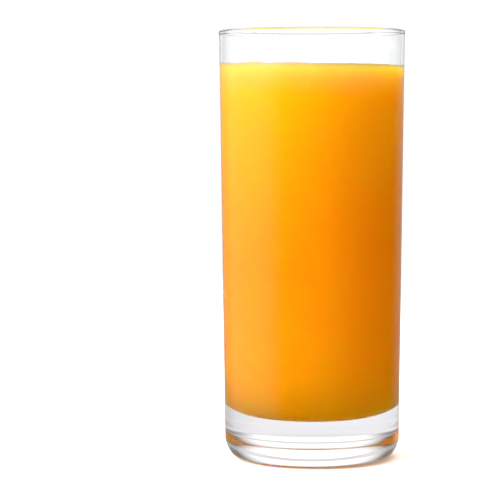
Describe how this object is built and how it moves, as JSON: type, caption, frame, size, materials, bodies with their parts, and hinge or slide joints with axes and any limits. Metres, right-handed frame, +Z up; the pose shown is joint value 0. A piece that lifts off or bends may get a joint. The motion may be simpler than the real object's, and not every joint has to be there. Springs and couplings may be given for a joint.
{
  "type": "glass of orange juice",
  "caption": "Straight, slightly tapered clear drinking glass with a thick base, filled almost to the rim with orange juice.",
  "frame": {"origin": "centre of the glass's foot, on the table", "axes": "+Z up along the glass's axis; the glass is round about it, so X and Y have no front"},
  "size_m": [0.0648, 0.0648, 0.149],
  "materials": {
    "glass": "clear polished soda-lime glass",
    "juice": "opaque pulpy orange juice with a wet, slightly frothy surface"
  },
  "bodies": {
    "root": {"glass": "glass", "juice": "juice"}
  },
  "joints": []
}
